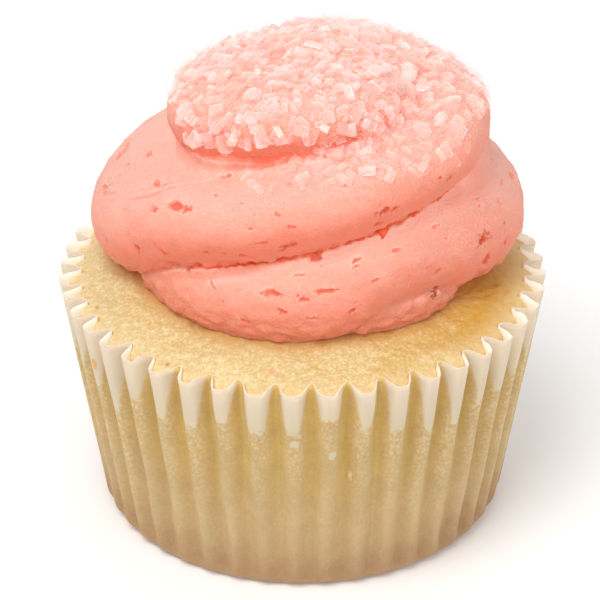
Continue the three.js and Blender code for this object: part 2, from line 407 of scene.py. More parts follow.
def makeCake():
    columns = case["pleatCount"] * case["columnsPerPleat"]
    shelf = case["height"] - cake["unfilledDepth"]
    sideRows = [cake["bottom"], 3.1, 8.0, 15.0, shelf, 24.5, 27.0, 29.0, 30.5, 31.4]
    rings = int((cake["edgeRadius"] - cake["seenFrom"]) / cake["crumbStep"])
    topLevel = 40.0                            # the crown's rings start as a tube above this
    body = standUpTube("cakeBody", columns, [*sideRows, *(topLevel + ring for ring in range(rings + 1))])
    bpy.ops.object.mode_set(mode="EDIT")
    bpy.ops.mesh.edge_face_add()
    leaveEdit()

    points = readPoints(body)
    along = pleatPlace(points, columns)
    level = points[:, 2] / mm
    side = level < topLevel - 1
    height = np.where(side, level, sideRows[-1])
    loose = np.clip((height - shelf) / cake["unfilledDepth"], 0.0, 1.0)
    fillNumbers = numberStream(cake["fillSeed"])
    fills = []
    for pleat in range(case["pleatCount"]):
        aside = smoothStep(abs(pleat - cake["fullestPleat"]), 3.0, 7.0)
        least = mix(cake["fillInFront"][0], cake["fillElsewhere"][0], aside)
        most = mix(cake["fillInFront"][1], cake["fillElsewhere"][1], aside)
        fills.append(mix(least, most, next(fillNumbers)))
    fill = np.array(fills)[np.floor(along).astype(int) % case["pleatCount"]]
    radius, angle = wallRadiusAndAngle(along, height, mix(1.0, fill, loose))
    radius = radius - cake["clear"]
    inward = np.where(side, 0.0, (level - topLevel) / rings)
    edge = radius
    radius = mix(edge, cake["seenFrom"], inward)
    turned = np.clip((edge - radius) / cake["edgeRounding"], 0.0, 1.0)
    atRidge = np.sin(np.pi * (along - np.floor(along)))
    rounding = cake["edgeRounding"] * (1 - np.sqrt(1 - (1 - turned) ** 2)) * mix(0.15, 1.0, atRidge)
    height = np.where(side, height, crownHeight(radius) - rounding)
    points = roundPlace(radius, angle, height)

    top = smoothStep(height, 30.0, 32.0)
    relief = np.zeros(len(points))
    for size, seed, depth in cake["relief"]:
        relief += roughNoise(points, size, seed) * depth
    outward = points / np.array([[60.0, 60.0, 30.0]])
    outward = outward / np.linalg.norm(outward, axis=1)[:, None]
    upward = np.where(side[:, None], np.array([[0.0, 0.0, 0.0]]), outward)
    points = points + upward * (relief * top)[:, None]

    poreNumbers = numberStream(cake["poreSeed"])
    finder = pointFinder(points)
    hollow = np.zeros(len(points))
    for pore in range(cake["pores"]):
        angle = next(poreNumbers) * 2 * math.pi
        radius = mix(*cake["poreRing"], math.sqrt(next(poreNumbers)))
        size = mix(*cake["poreSizes"], next(poreNumbers) ** 2)
        centre = Vector((radius * math.cos(angle), radius * math.sin(angle), crownHeight(radius)))
        for place, index, distance in finder.find_range(centre, size * 2):
            depth = float(smoothStep(1 - distance / (size * 1.6), 0.0, 0.6))
            hollow[index] = max(hollow[index], depth)
            points[index, 2] -= depth * cake["poreDepth"] * size * 1.6
    writePoints(body, points * mm)
    writeAttribute(body, "hollow", hollow)
    fromAxis = np.hypot(points[:, 0], points[:, 1])
    # painted light: the crumb near the paper is marked to be made paler, as if lit through it
    writeAttribute(body, "litThroughPaper", 0.8 * smoothStep(fromAxis, 26.5, 30.5))
    faceOutwards(body)
    smoothShade(body)
    cake["crumbPlace"] = castFrame(surfaceTree(body), *cake["icingCrumb"])[0]
    return body


cakeBody = makeCake()
print("cake baked:", len(cakeBody.data.polygons), "faces")


# the piped swirl, in mm
icing = {
    # turn, path radius, height of the middle, half width, half height, lean
    "stations": (
        (-0.75, 13.0, 37.0, 8.5, 4.0, 0.0), (-0.62, 14.5, 37.0, 9.0, 4.0, 0.0),
        (-0.5, 13.0, 37.0, 8.0, 4.0, 0.0), (-0.25, 13.0, 38.0, 8.0, 5.0, 0.0),
        (0.0, 14.5, 37.5, 7.5, 5.0, -0.1), (0.25, 17.5, 39.6, 6.5, 6.5, 0.0),
        (0.375, 18.0, 42.4, 5.5, 6.4, 0.1), (0.5, 21.5, 42.0, 8.0, 7.3, -0.05),
        (0.75, 20.0, 43.5, 9.0, 8.0, -0.1), (1.0, 19.3, 42.7, 8.7, 8.2, -0.2),
        (1.125, 16.5, 47.0, 7.3, 6.2, 0.0), (1.25, 15.0, 51.2, 7.3, 5.8, 0.1),
        (1.375, 15.2, 53.6, 7.6, 5.5, 0.15), (1.5, 15.6, 55.6, 8.7, 6.7, 0.1),
        (1.75, 10.5, 56.3, 8.7, 6.3, 0.0), (2.0, 8.8, 57.7, 8.8, 6.2, -0.1),
        (2.25, 7.3, 60.2, 8.4, 5.0, 0.1), (2.5, 7.5, 60.8, 8.4, 5.0, -0.2),
    ),
    "ropeSides": 40,
    "stepsPerTurn": 72,
    "core": ((17.5, 36.0), (17.5, 49.0), (15.5, 54.0), (11.0, 58.0), (0.5, 60.0)),
    "dome": (14.0, 13.0, 8.2),
    "domeMiddle": (3.5, 3.0, 58.0),
    "gap": 0.02,                 # over the cake
    "voxel": 0.35,
    "smoothing": 4,
    "waves": ((9.0, 7, 0.3), (3.2, 8, 0.12), (1.6, 12, 0.06), (0.9, 11, 0.05)),  # size, seed, depth
    "pressed": 1.45,             # how far a roll swells against the one above it
    "wrinkles": 0.34,            # near the cake
    "edgeRaggedness": 0.4,
    "lipWaves": ((2.6, 13, 0.4), (1.1, 9, 0.32), (0.6, 10, 0.16)),
    "pitDepth": 0.85,
    "dragDepth": 0.65,
    "glowReach": 16.0,           # how near a roll above lights up the icing
    "creaseReach": (3.2, 2.4),   # before and after the rolls swell
    "strayTears": 150,           # seeded ones, all round but in front
    "tearSeed": 5,
}

stations = np.array(icing["stations"])


def ropeAt(turn):
    # path radius, middle height, half width, half height and lean, smooth between the stations
    turns = stations[:, 0]
    number = np.clip(np.searchsorted(turns, turn, side="right") - 1, 0, len(turns) - 2)
    last = len(turns) - 1
    before = stations[np.maximum(number - 1, 0)]
    start = stations[number]
    end = stations[number + 1]
    after = stations[np.minimum(number + 2, last)]
    span = end[:, :1] - start[:, :1]
    slopeStart = (end - before) / (end[:, :1] - before[:, :1])
    slopeEnd = (after - start) / (after[:, :1] - start[:, :1])
    share = (turn[:, None] - start[:, :1]) / span
    square = share ** 2
    cube = share ** 3
    values = start * (2 * cube - 3 * square + 1) + end * (3 * square - 2 * cube)
    values = values + span * slopeStart * (cube - 2 * square + share) + span * slopeEnd * (cube - square)
    return values[:, 1:]


def makeRope():
    # a straight unit rope, ring by ring, then laid along its path
    firstTurn = stations[0, 0]
    lastTurn = stations[-1, 0]
    steps = int(round((lastTurn - firstTurn) * icing["stepsPerTurn"]))
    rope = addDisc("rope", icing["ropeSides"], 1.0)
    editAll(rope)
    for step in range(steps):
        raiseFace(1)
    leaveEdit()
    straight = readPoints(rope)
    turn = mix(firstTurn, lastTurn, straight[:, 2] / steps)
    radius, middle, halfWidth, halfHeight, lean = ropeAt(turn).T
    inward = np.minimum(halfWidth, radius - 0.5)
    offset = straight[:, 0] * np.where(straight[:, 0] > 0, halfWidth, inward)
    angle = (turn - 0.5) * 2 * np.pi
    height = middle + straight[:, 1] * halfHeight + offset * lean
    writePoints(rope, roundPlace(radius + offset, angle, height) * mm)
    faceOutwards(rope)
    return rope


def makeCore():
    firstRadius, firstHeight = icing["core"][0]
    core = addDisc("core", 96, firstRadius * mm, firstHeight * mm)
    editAll(core)
    for low, high in zip(icing["core"], icing["core"][1:]):
        raiseFace((high[1] - low[1]) * mm)
        resizeFace(high[0] / low[0], high[1] * mm)
    leaveEdit()
    faceOutwards(core)
    return core


def makeDome():
    pickOnly(None)
    bpy.ops.mesh.primitive_uv_sphere_add(segments=64, ring_count=32, radius=mm,
                                         location=[value * mm for value in icing["domeMiddle"]])
    bpy.ops.transform.resize(value=icing["dome"])
    bpy.ops.object.transform_apply()
    return keepAs("dome")


def makeCrownCutter():
    # everything up to just above the cake
    radii = [45.0, 30.0, 27.0, 24.0, 21.0, 18.0, 14.0, 10.0, 5.0, 0.5]
    heights = [crownHeight(radius) + icing["gap"] for radius in radii]
    cutter = addDisc("crownCutter", 128, radii[0] * mm)
    editAll(cutter)
    raiseFace(heights[0] * mm)
    for number in range(1, len(radii)):
        raiseFace((heights[number] - heights[number - 1]) * mm)
        resizeFace(radii[number] / radii[number - 1], heights[number] * mm)
    leaveEdit()
    faceOutwards(cutter)
    return cutter


# tears and air holes in the icing: place in the frame, length and width in mm, turn in degrees
tears = (
    (228, 175, 0.9, 0.5, 10), (216, 195, 0.5, 0.4, 0), (154, 209, 1.6, 0.8, 8), (177, 206, 2.4, 1.2, 20),
    (186, 210, 1.1, 0.8, 60), (169, 169, 0.9, 0.3, 10), (118, 173, 0.7, 0.3, 80),
    (108, 179, 0.5, 0.3, 60), (106, 241, 0.9, 0.5, -50), (136, 251, 1.3, 0.7, -70),
    (162, 252, 1.5, 0.5, -35), (115, 257, 0.9, 0.5, -45), (205, 254, 0.9, 0.4, 0),
    (224, 254, 0.8, 0.4, 0), (241, 203, 0.8, 0.3, 0), (278, 215, 0.8, 0.4, 5), (291, 227, 0.9, 0.4, 0),
    (250, 229, 0.5, 0.4, 0), (263, 242, 1.1, 0.4, 12), (345, 184, 0.5, 0.4, 70), (288, 182, 0.5, 0.3, 20),
    (245, 255, 1.6, 0.6, 10), (287, 246, 2.0, 0.7, 14), (313, 249, 1.6, 0.5, 15),
    (382, 234, 1.1, 1.2, 60), (377, 224, 0.9, 0.8, 70), (183, 265, 1.2, 0.8, -40),
    (171, 264, 1.4, 0.4, 5), (440, 178, 0.8, 0.4, 0), (449, 178, 0.9, 0.4, 10), (395, 209, 1.5, 0.4, 20),
    (385, 211, 1.5, 0.7, 20), (436, 226, 0.8, 0.4, 8), (396, 250, 1.4, 0.5, 5), (500, 203, 0.9, 0.6, 35),
    (486, 240, 1.9, 1.3, 0), (507, 243, 0.9, 0.6, 70), (487, 260, 1.3, 1.2, 60), (480, 205, 0.7, 0.4, 0),
    (506, 222, 0.6, 0.4, 40), (435, 288, 1.5, 1.0, 25), (428, 267, 1.4, 0.3, 0), (438, 271, 0.9, 0.4, 20),
    (461, 283, 1.0, 0.6, 40), (211, 285, 1.2, 0.4, -25), (222, 302, 0.5, 0.3, 0),
    (272, 293, 2.7, 0.7, -8), (281, 312, 1.3, 0.5, -15), (356, 261, 1.0, 0.6, 25),
    (356, 267, 0.9, 0.4, 0), (324, 291, 3.2, 0.6, 4), (305, 300, 1.6, 0.5, 0), (375, 280, 1.6, 0.4, 15),
    (322, 266, 0.5, 0.4, 0), (300, 275, 1.0, 0.4, 0), (352, 310, 1.0, 0.4, 15), (312, 319, 1.6, 0.3, 0),
    (356, 328, 1.3, 0.4, 20), (189, 296, 0.7, 0.3, -40), (245, 322, 1.2, 0.4, -20),
    (477, 198, 1.1, 0.3, 0), (492, 160, 0.7, 0.3, 50), (515, 246, 0.6, 0.5, 60), (447, 238, 0.5, 0.3, 0),
)
# long shallow drag marks on the left shoulder, through places in the frame
dragMarks = (
    ((93, 202), (126, 198), (147, 195), (166, 189), (190, 185), (217, 179), (227, 177)),
    ((103, 193), (128, 189), (161, 184), (180, 180)),
)


def placeTears(tree):
    # each is a place, the surface's normal, half length, half width, turn and depth
    found = []
    for across, down, length, width, turn in tears:
        place, normal = castFrame(tree, across, down)
        if place is None:
            continue
        found.append((place, normal, length / 2, width / 2, math.radians(turn), 1.0))
    numbers = numberStream(icing["tearSeed"])
    for stray in range(icing["strayTears"]):
        angle = next(numbers) * 2 * math.pi
        height = mix(37.0, 56.0, next(numbers))
        size = mix(0.5, 1.0, next(numbers) ** 2)
        turn = mix(-0.5, 0.5, next(numbers))
        stretch = mix(0.35, 0.8, next(numbers))
        depth = mix(0.45, 1.0, next(numbers))
        outside = Vector((math.cos(angle), math.sin(angle), 0.0))
        start = outside * 60 * mm + Vector((0, 0, height * mm))
        place, normal, _, _ = tree.ray_cast(start, -outside)
        if place is None or normal.z < -0.75:
            continue
        if normal.y < -0.15:                   # the front has its own
            continue
        found.append((place, normal, size, size * stretch, turn, depth))
    return found


def placeDragMarks(tree):
    spots = []
    for mark in dragMarks:
        for (x0, y0), (x1, y1) in zip(mark, mark[1:]):
            for share in np.linspace(0, 1, 16, endpoint=False):
                place, normal = castFrame(tree, mix(x0, x1, share), mix(y0, y1, share))
                if place is not None:
                    spots.append(place)
    return spots


def refineNear(piece, places, reach):
    # halves the faces round each place
    finder = pointFinder(places)
    chosen = [finder.find(face.center)[2] < reach for face in piece.data.polygons]
    editAll(piece)
    bpy.ops.mesh.select_mode(type="FACE")
    bpy.ops.mesh.select_all(action="DESELECT")
    leaveEdit()
    piece.data.polygons.foreach_set("select", chosen)
    bpy.ops.object.mode_set(mode="EDIT")
    bpy.ops.mesh.subdivide(number_cuts=1)
    leaveEdit()


def closedIn(piece, points, normals, wanted, reach):
    # how closed in each wanted point is, from short casts outwards
    tree = surfaceTree(piece)
    directions = []
    for cast in range(8):
        angle = cast * 2.4
        directions.append(Vector((0.85 * math.cos(angle), 0.85 * math.sin(angle), 0.6)))
    closed = np.zeros(len(points))
    for index in np.nonzero(wanted)[0]:
        normal = Vector(normals[index])
        side = normal.orthogonal().normalized()
        other = normal.cross(side)
        start = (Vector(points[index]) + normal * 0.05) * mm
        blocked = 0.0
        for direction in directions:
            aim = side * direction.x + other * direction.y + normal * direction.z
            distance = tree.ray_cast(start, aim, reach * mm)[3]
            if distance is not None:
                blocked += 1 - distance / (reach * mm)
        closed[index] = blocked / len(directions)
    return closed


def tearDepths(finder, count, tearList):
    # how far each point sinks into a tear, and how much painted shade it gets there
    sunk = np.zeros(count)
    hollow = np.zeros(count)
    for number, (place, normal, halfLength, halfWidth, turn, depth) in enumerate(tearList):
        level = Vector((0, 0, 1)).cross(normal)
        level = level.normalized() if level.length > 0.1 else normal.orthogonal().normalized()
        upward = normal.cross(level)
        longWay = level * math.cos(turn) + upward * math.sin(turn)
        crossWay = normal.cross(longWay)
        centre = place / mm
        for spot, index, distance in finder.find_range(centre, halfLength * 1.7 + 0.3):
            away = spot - centre
            bend = noise.noise(spot * 1.5 + Vector((number, 0, 0))) * 0.7
            bend += noise.noise(spot * 3.2) * 0.5
            wide = away.dot(longWay) / halfLength
            high = away.dot(crossWay) / halfWidth
            share = math.hypot(wide, high) * (1 + bend)
            inside = float(smoothStep(1.25 - share, 0.0, 0.55))
            sunk[index] = max(sunk[index], inside * depth * min(1.0, halfWidth * 2.4))
            hollow[index] = max(hollow[index], inside * depth * 0.72 * min(1.0, 0.3 + 1.2 * halfWidth))
    return sunk, hollow


def dragDepths(finder, count, spots):
    dragged = np.zeros(count)
    for spot in spots:
        for place, index, distance in finder.find_range(spot / mm, 0.5):
            dragged[index] = max(dragged[index], float(smoothStep(0.45 - distance, 0.0, 0.4)))
    return dragged


def pipeSwirl():
    parts = [makeRope(), makeCore(), makeDome()]
    pickOnly(parts[0])
    for part in parts:
        part.select_set(True)
    bpy.ops.object.join()
    swirl = keepAs("icing")
    applyModifier(swirl, "REMESH", mode="VOXEL", voxel_size=icing["voxel"] * mm)
    applyModifier(swirl, "SMOOTH", factor=0.5, iterations=icing["smoothing"])
    cutter = makeCrownCutter()
    applyModifier(swirl, "BOOLEAN", operation="DIFFERENCE", object=cutter, solver="MANIFOLD")
    bpy.data.objects.remove(cutter)
    print("icing piped:", len(swirl.data.polygons), "faces")
    return swirl


def makeIcing():
    swirl = pipeSwirl()
    tree = surfaceTree(swirl)
    tearList = placeTears(tree)
    dragSpots = placeDragMarks(tree)
    refineNear(swirl, [entry[0] for entry in tearList] + dragSpots, 0.9 * mm)

    points = readPoints(swirl) / mm
    normals = readNormals(swirl)
    crown = crownUnder(points) + icing["gap"]
    free = smoothStep(points[:, 2] - crown, 0.05, 0.7)
    # each roll swells against the one above it, which leaves a tight crease
    closed = smoothValues(swirl, closedIn(swirl, points, normals, free > 0, icing["creaseReach"][0]), 3)
    upward = smoothStep(normals[:, 2], -0.4, 0.2)
    push = smoothStep(closed, 0.05, 0.5) * upward * icing["pressed"]
    for size, seed, depth in icing["waves"]:
        push += roughNoise(points, size, seed) * depth
    lowest = 1 - smoothStep(points[:, 2] - crown, 2.0, 6.0)
    push += roughNoise(points * np.array([[1.0, 1.0, 2.2]]), 1.8, 14) * icing["wrinkles"] * lowest
    lip = smoothStep(closed, 0.01, 0.12) * (1 - smoothStep(closed, 0.45, 0.7))
    lip = lip * smoothStep(-normals[:, 2], -0.15, 0.35)
    for size, seed, depth in icing["lipWaves"]:
        push += roughNoise(points, size, seed) * depth * lip
    points = points + normals * (push * free)[:, None]
    # the lower edge lies unevenly on the cake
    ragged = (roughNoise(points, 2.4, 15) + 0.6 * roughNoise(points, 0.9, 16)) * icing["edgeRaggedness"]
    points[:, :2] += normals[:, :2] * (ragged * (1 - free))[:, None]
    crown = crownUnder(points) + icing["gap"]
    points[:, 2] = np.where(free < 1, np.maximum(points[:, 2], crown), points[:, 2])
    writePoints(swirl, points * mm)
    # painted shade: how near a crease each point is, before the rolls swell
    blush = smoothStep(closed, 0.03, 0.45)
    normals = readNormals(swirl)
    closed = closedIn(swirl, points, normals, closed > 0.02, icing["creaseReach"][1])
    closed = smoothValues(swirl, closed, 2)
    downward = smoothStep(-normals[:, 2], -0.45, 0.35)
    crease = smoothStep(closed, mix(0.45, 0.2, downward), mix(0.75, 0.6, downward))
    crease = np.maximum(crease, 0.6 * blush * downward)
    # painted light: the sugar is taken to scatter light into the uppermost crease, which is marked lit and
    # less deeply shaded
    topmost = smoothStep(points[:, 2], 50.0, 54.0)
    bright = smoothStep(closed, 0.05, 0.4) * topmost
    crease = crease * (1 - 0.5 * topmost)

    # tears and holes
    finder = pointFinder(points)
    sunk, pitShade = tearDepths(finder, len(points), tearList)
    # painted shade: creases, tears and drag marks are marked to take the deep red-orange
    hollow = np.maximum(crease, pitShade)
    points = points - normals * (sunk * icing["pitDepth"] * free)[:, None]

    dragged = dragDepths(finder, len(points), dragSpots)
    points = points - normals * (dragged * icing["dragDepth"])[:, None]
    hollow = np.maximum(hollow, dragged * 0.3)
    writePoints(swirl, points * mm)
    # painted shade and light: undersides are marked for a deeper red, and a roll's top for a paler colour
    # and a glow right up to the one over it
    near = smoothValues(swirl, closedIn(swirl, points, normals, normals[:, 2] > 0, icing["glowReach"]), 4)
    lean = smoothValues(swirl, normals[:, 2], 6)
    writeAttribute(swirl, "turned", smoothStep(-lean, -0.65, 0.45))
    lit = smoothStep(near, 0.05, 0.5) * smoothStep(lean, 0.1, 0.6) * (1 - np.clip(2 * hollow, 0, 1))
    writeAttribute(swirl, "glow", np.maximum(lit, bright))
    writeAttribute(swirl, "upward", smoothStep(lean, 0.45, 0.95))
    writeAttribute(swirl, "hollow", np.clip(hollow, 0, 1))
    writeAttribute(swirl, "nearCake", 1 - smoothStep(points[:, 2] - crownUnder(points), 0.5, 8.0))
    smoothShade(swirl)
    return swirl


icingSwirl = makeIcing()
print("icing finished:", len(icingSwirl.data.polygons), "faces")


def markUnderIcing():
    # how near the icing each point of the cake's top is
    tree = surfaceTree(icingSwirl)
    points = readPoints(cakeBody)
    reach = cake["shadeReach"]
    near = np.full(len(points), reach)
    for index in np.nonzero(points[:, 2] > 30 * mm)[0]:
        distance = tree.find_nearest(Vector(points[index]), reach * mm)[3]
        if distance is not None:
            near[index] = distance / mm
    writeAttribute(cakeBody, "underIcing", 1 - smoothStep(near, 0.0, reach))


markUnderIcing()
print("cake shaded under the icing")


# coarse sugar, in mm
sugar = {
    "tries": 1750,
    "length": (1.3, 2.7),
    "cap": (3.4, 1.0, 50.0),     # middle of the sugared top
    "reach": 20.5,
    "edgeHeight": 56.6,
    "edgeSlope": 0.12,
    "heapStep": 1.1,
    "heapRise": 0.35,
    "raised": 0.06,              # of a crystal's length, its middle over the icing
    "tilt": 0.42,
    "seed": 17,
}
# single crystals below the heap, at places in the frame
strayCrystals = (
    (247, 178, 2.0), (252, 184, 1.9), (262, 178, 1.4), (275, 187, 2.4), (249, 171, 1.3), (259, 190, 1.6),
    (303, 178, 2.0), (314, 168, 1.7), (331, 172, 1.9), (296, 164, 1.7), (372, 168, 2.1), (380, 176, 1.4),
    (385, 168, 1.4), (411, 170, 1.2), (421, 171, 1.5), (355, 162, 1.6), (366, 160, 1.4), (398, 160, 1.5),
    (455, 160, 1.9), (466, 147, 1.6), (440, 155, 1.8), (428, 157, 1.5), (187, 138, 2.0), (195, 141, 1.6),
    (345, 143, 2.2), (352, 149, 2.0), (360, 145, 2.3), (338, 150, 2.0), (330, 147, 2.2), (368, 139, 2.0),
    (376, 137, 2.2), (322, 152, 1.8), (384, 131, 2.0), (349, 154, 1.8), (366, 150, 2.0),
)


def makeCrystalShapes():
    # a few cut shapes, each one unit long
    shapes = []
    cuts = (
        ((1.0, 0.5, 0.4), ((0.42, 0, 0), (1.0, 0.35, 0.3))),
        ((1.0, 0.56, 0.44), ((0.4, 0.2, 0), (0.8, 0.8, 0.1))),
        ((1.0, 0.42, 0.4), ((-0.38, 0, 0.1), (-1.0, 0.2, 0.7))),
        ((0.85, 0.6, 0.46), ((0.2, -0.25, 0.2), (0.6, -0.7, 0.6))),
        ((1.0, 0.46, 0.36), ((0.4, 0.1, 0.1), (0.9, -0.5, 0.4))),
        ((0.9, 0.62, 0.4), ((-0.3, 0.3, 0), (-0.7, 0.7, 0.2))),
    )
    for number, (size, (place, facing)) in enumerate(cuts):
        pickOnly(None)
        bpy.ops.mesh.primitive_cube_add(size=1.0)
        crystal = keepAs("crystal" + str(number))
        bpy.ops.transform.resize(value=size)
        bpy.ops.object.transform_apply()
        editAll(crystal)
        bpy.ops.mesh.bisect(plane_co=place, plane_no=facing, use_fill=True, clear_outer=True)
        bpy.ops.mesh.select_all(action="SELECT")
        bpy.ops.mesh.bevel(offset=0.06, segments=1, affect="EDGES")
        leaveEdit()
        applyModifier(crystal, "TRIANGULATE")
        points = readPoints(crystal)
        faces = np.array([tuple(face.vertices) for face in crystal.data.polygons])
        shapes.append((points, faces))
        bpy.data.objects.remove(crystal)
    return shapes


def heapCell(spot):
    return tuple(round(value / sugar["heapStep"]) for value in spot)


def findSugarPlaces(tree, numbers):
    # spread evenly over the cap by the golden angle, each a place, a normal and a length
    places = []
    cap = Vector(sugar["cap"]) * mm
    goldenAngle = math.pi * (3 - math.sqrt(5))
    for number in range(sugar["tries"]):
        rise = mix(1.0, 0.02, (number + 0.5) / sugar["tries"])
        angle = number * goldenAngle
        spread = math.sqrt(1 - rise * rise)
        outward = Vector((spread * math.cos(angle), spread * math.sin(angle), rise))
        outward += Vector([mix(-0.03, 0.03, next(numbers)) for axis in range(3)])
        outward.normalize()
        place, normal, _, _ = tree.ray_cast(cap + outward * 60 * mm, -outward)
        keep = next(numbers)
        if place is None:
            continue
        spot = place / mm
        over = spot.z - sugar["edgeHeight"] + sugar["edgeSlope"] * spot.x
        reach = math.hypot(spot.x - sugar["cap"][0], spot.y - sugar["cap"][1])
        if reach > sugar["reach"] or normal.z < -0.3:
            continue
        if keep > smoothStep(over, -1.2, 0.8):
            continue
        places.append((spot, normal, mix(*sugar["length"], next(numbers) ** 1.3)))
    # shuffled, so that the heap grows evenly
    order = sorted(range(len(places)), key=lambda index: math.sin(index * 91.7) * 43758.5 % 1)
    places = [places[index] for index in order]
    for across, down, length in strayCrystals:
        place, normal = castFrame(tree, across, down)
        if place is not None:
            places.append((place / mm, normal, length))
    return places


def layCrystal(shape, spot, normal, length, level, numbers):
    # turned at random, tilted off the icing and sunk in place
    tilt = mix(-1.0, 1.0, next(numbers)) * sugar["tilt"] * (1 + level)
    roll = mix(-1.0, 1.0, next(numbers)) * sugar["tilt"] * (1 + level)
    turn = next(numbers) * 2 * math.pi
    width = mix(0.8, 1.15, next(numbers))
    side = normal.orthogonal().normalized()
    other = normal.cross(side)
    longWay = (side * math.cos(turn) + other * math.sin(turn)).normalized()
    longWay = (longWay * math.cos(tilt) + normal * math.sin(tilt)).normalized()
    up = (normal - longWay * normal.dot(longWay)).normalized()
    wide = up.cross(longWay)
    up, wide = up * math.cos(roll) + wide * math.sin(roll), wide * math.cos(roll) - up * math.sin(roll)
    centre = spot + normal * (sugar["raised"] * length + level * sugar["heapRise"])
    scaled = shape * np.array([[length, length * width, length * width]])
    return (scaled[:, :1] * np.array([tuple(longWay)]) + scaled[:, 1:2] * np.array([tuple(wide)])
            + scaled[:, 2:3] * np.array([tuple(up)]) + np.array([tuple(centre)]))


def makeSugar():
    shapes = makeCrystalShapes()
    numbers = numberStream(sugar["seed"])
    places = findSugarPlaces(surfaceTree(icingSwirl), numbers)
    crowd = {}
    for spot, normal, length in places:
        crowd[heapCell(spot)] = crowd.get(heapCell(spot), 0) + 1
    heap = {}
    allPoints = []
    allFaces = []
    allMilk = []
    allBuried = []
    offset = 0
    for spot, normal, length in places:
        cell = heapCell(spot)
        level = heap.get(cell, 0)
        heap[cell] = level + 1
        if level > 1:
            continue
        shape, faces = shapes[int(next(numbers) * len(shapes)) % len(shapes)]
        allPoints.append(layCrystal(shape, spot, normal, length, level, numbers))
        allFaces.append(faces + offset)
        allMilk.append(np.full(len(shape), next(numbers)))
        allBuried.append(np.full(len(shape), 1.0 if level == 0 and crowd[cell] > 1 else 0.0))
        offset += len(shape)
    points = np.concatenate(allPoints) * mm
    faces = np.concatenate(allFaces)
    mesh = bpy.data.meshes.new("sugarCrystals")
    mesh.from_pydata(points.tolist(), [], faces.tolist())
    crystals = bpy.data.objects.new("sugarCrystals", mesh)
    scene.collection.objects.link(crystals)
    writeAttribute(crystals, "milk", np.concatenate(allMilk))
    writeAttribute(crystals, "buried", np.concatenate(allBuried))
    print("crystals:", len(allPoints))
    return crystals


sugarCrystals = makeSugar()
print("sugar scattered:", len(sugarCrystals.data.polygons), "faces")


wiring = {}                      # the nodes and links of the material that is being made


def newMaterial(name):
    material = bpy.data.materials.new(name)
    material.use_nodes = True
    wiring["nodes"] = material.node_tree.nodes
    wiring["links"] = material.node_tree.links
    return material, wiring["nodes"]["Principled BSDF"]


def addNode(kind, **settings):
    node = wiring["nodes"].new("ShaderNode" + kind)
    for name, value in settings.items():
        setattr(node, name, value)
    return node


def feed(socket, value):
    # with another node's output, a number, a vector or a colour
    if isinstance(value, bpy.types.NodeSocket):
        wiring["links"].new(value, socket)
    elif socket.type == "RGBA":
        socket.default_value = (*value, 1.0)
    else:
        socket.default_value = value


def noiseNode(vector, scale, detail=3.0, roughness=0.55):
    node = addNode("TexNoise")
    feed(node.inputs["Vector"], vector)
    feed(node.inputs["Scale"], scale)
    feed(node.inputs["Detail"], detail)
    feed(node.inputs["Roughness"], roughness)
    return node.outputs["Fac"]


def mathNode(operation, *values, clamp=False):
    node = addNode("Math", operation=operation, use_clamp=clamp)
    for socket, value in zip(node.inputs, values):
        feed(socket, value)
    return node.outputs[0]


def plus(first, second, clamp=False):
    return mathNode("ADD", first, second, clamp=clamp)


def times(first, second):
    return mathNode("MULTIPLY", first, second)


def rangeNode(value, low, high, toLow=0.0, toHigh=1.0):
    node = addNode("MapRange", interpolation_type="SMOOTHSTEP")
    for socket, number in zip(node.inputs, (value, low, high, toLow, toHigh)):
        feed(socket, number)
    return node.outputs[0]


def mixColour(share, first, second):
    # its inputs 6 and 7 and its output 2 are the colours
    node = addNode("Mix", data_type="RGBA")
    feed(node.inputs[0], share)
    feed(node.inputs[6], first)
    feed(node.inputs[7], second)
    return node.outputs[2]


def bumpNode(height, strength, distance, below=None):
    node = addNode("Bump")
    feed(node.inputs["Strength"], strength)
    feed(node.inputs["Distance"], distance)
    feed(node.inputs["Height"], height)
    if below is not None:
        feed(node.inputs["Normal"], below)
    return node.outputs["Normal"]


def attributeNode(name):
    return addNode("Attribute", attribute_name=name).outputs["Fac"]


def objectPlace():
    return addNode("TexCoord").outputs["Object"]


def axisNode(vector, axis):
    split = addNode("SeparateXYZ")
    feed(split.inputs[0], vector)
    return split.outputs[axis]


def spotNode(vector, middle, stretch, inner, outer):
    # one round spot, full within the inner radius and gone at the outer one
    offset = addNode("VectorMath", operation="SUBTRACT")
    feed(offset.inputs[0], vector)
    feed(offset.inputs[1], middle)
    scaled = addNode("VectorMath", operation="MULTIPLY")
    feed(scaled.inputs[0], offset.outputs["Vector"])
    feed(scaled.inputs[1], stretch)
    away = addNode("VectorMath", operation="LENGTH")
    feed(away.inputs[0], scaled.outputs["Vector"])
    return rangeNode(away.outputs["Value"], outer * mm, inner * mm)


def screenColours(**seen):
    # colours as seen on a screen, 0 to 255, made linear
    colours = {}
    for name, values in seen.items():
        shares = [value / 255 for value in values]
        colours[name] = tuple(((share + 0.055) / 1.055) ** 2.4 for share in shares)
    return colours


paperLook = screenColours(
    bare=(213, 197, 175),
    bareLow=(213, 193, 160),
    # inside is painted light: the inner face near the rim is made pale, as if lit through the paper
    inside=(246, 236, 216),
    greasy=(204, 171, 120),
    # valley and lowerValley are painted lighter than the ridges' colours, against the shade in the valleys
    valley=(221, 185, 114),
    lower=(203, 171, 126),
    lowerValley=(212, 177, 127),
    foot=(170, 132, 96),
    fleck=(228, 205, 166),
    soaked=(212, 158, 84),
    stain=(214, 160, 84),
)


